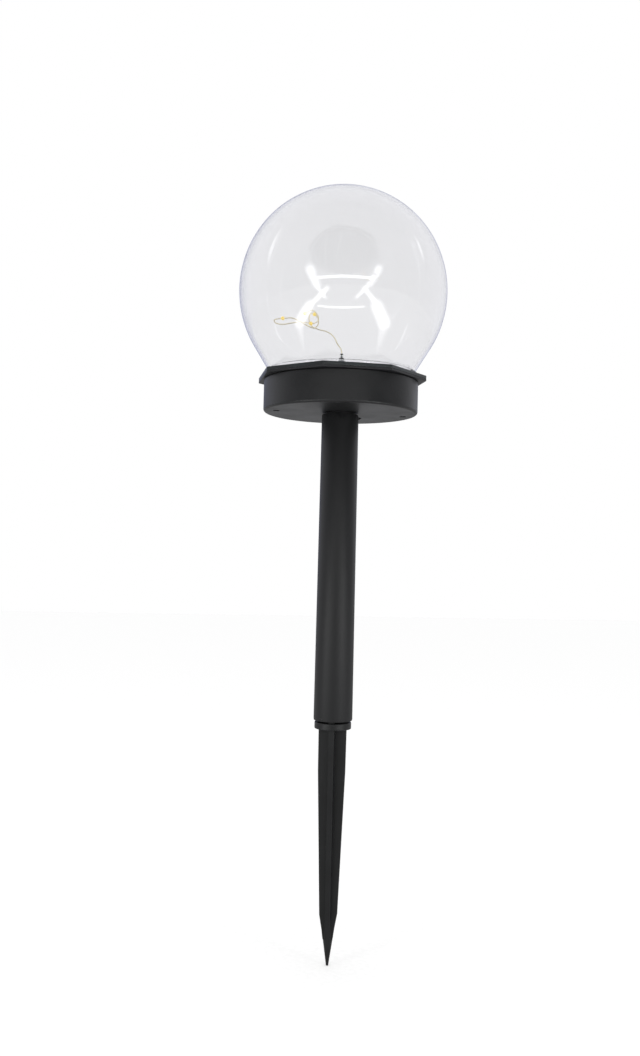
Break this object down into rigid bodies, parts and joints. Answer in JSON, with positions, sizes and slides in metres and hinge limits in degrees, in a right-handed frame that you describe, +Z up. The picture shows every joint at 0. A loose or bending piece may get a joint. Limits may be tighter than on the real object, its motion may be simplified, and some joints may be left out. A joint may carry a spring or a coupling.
{
  "type": "garden globe light",
  "caption": "Solar stake light: clear globe with a copper light string on an octagonal panel, round black housing, plain tube pole and cross-finned ground spike.",
  "frame": {"origin": "centre of the underside of the spike's collar, on the ground line", "axes": "+Z up along the pole, X through the two case screws, the switch on the +Y side"},
  "size_m": [0.1, 0.1, 0.3703],
  "materials": {
    "black_abs": "fine moulded grain",
    "rubber": "matt",
    "steel": "plated",
    "board_black": "sawn laminate",
    "silicon": "anti-reflection blue",
    "tin": "tinned",
    "clear_resin": "cast, glossy",
    "clear_plastic": "polished",
    "clear_bond": "cured bead",
    "copper_wire": "lacquered copper",
    "pale_silicone": "translucent sleeve",
    "amber_resin": "drop of resin",
    "led_phosphor": "phosphor",
    "cell_wrap": "shrink wrap",
    "nickel": "plated",
    "board_green": "solder mask",
    "chip_black": "moulded",
    "ceramic_tan": "ceramic",
    "ferrite": "ferrite",
    "lead_red": "insulated",
    "lead_black": "insulated",
    "lead_white": "insulated"
  },
  "bodies": {
    "spike": {"spike": "black_abs"},
    "pole": {"pole": "black_abs"},
    "head": {"base_cup": "black_abs", "lid": "black_abs", "lid_gasket": "rubber", "case_screws": "steel", "panel_board": "board_black", "solar_cells": "silicon", "cell_ribbons": "tin", "panel_resin": "clear_resin", "globe_dome": "clear_plastic", "globe_bowl": "clear_plastic", "globe_bond": "clear_bond", "wire_grommet": "rubber", "wire_ferrule": "tin", "wire_cap": "rubber", "wire_sleeve": "pale_silicone", "wire_tie": "rubber", "led_wire": "copper_wire", "led_beads": "amber_resin", "led_chips": "led_phosphor", "battery": "cell_wrap", "battery_spring": "nickel", "battery_contact": "nickel", "circuit_board": "board_green", "driver_chip": "chip_black", "capacitor": "ceramic_tan", "inductor": "ferrite", "switch_body": "nickel", "panel_leads": "lead_red", "battery_leads": "lead_black", "led_leads": "lead_white"},
    "switch_knob": {"switch_knob": "black_abs"}
  },
  "joints": [
    {"name": "pole_lift", "type": "slide", "parent": "spike", "child": "pole", "axis": [0, 0, 1], "range_m": [0, 0.024]},
    {"name": "head_lift", "type": "slide", "parent": "pole", "child": "head", "axis": [0, 0, 1], "range_m": [0, 0.024]},
    {"name": "switch_slide", "type": "slide", "parent": "head", "child": "switch_knob", "axis": [1, 0, 0], "range_m": [0, 0.002]}
  ]
}
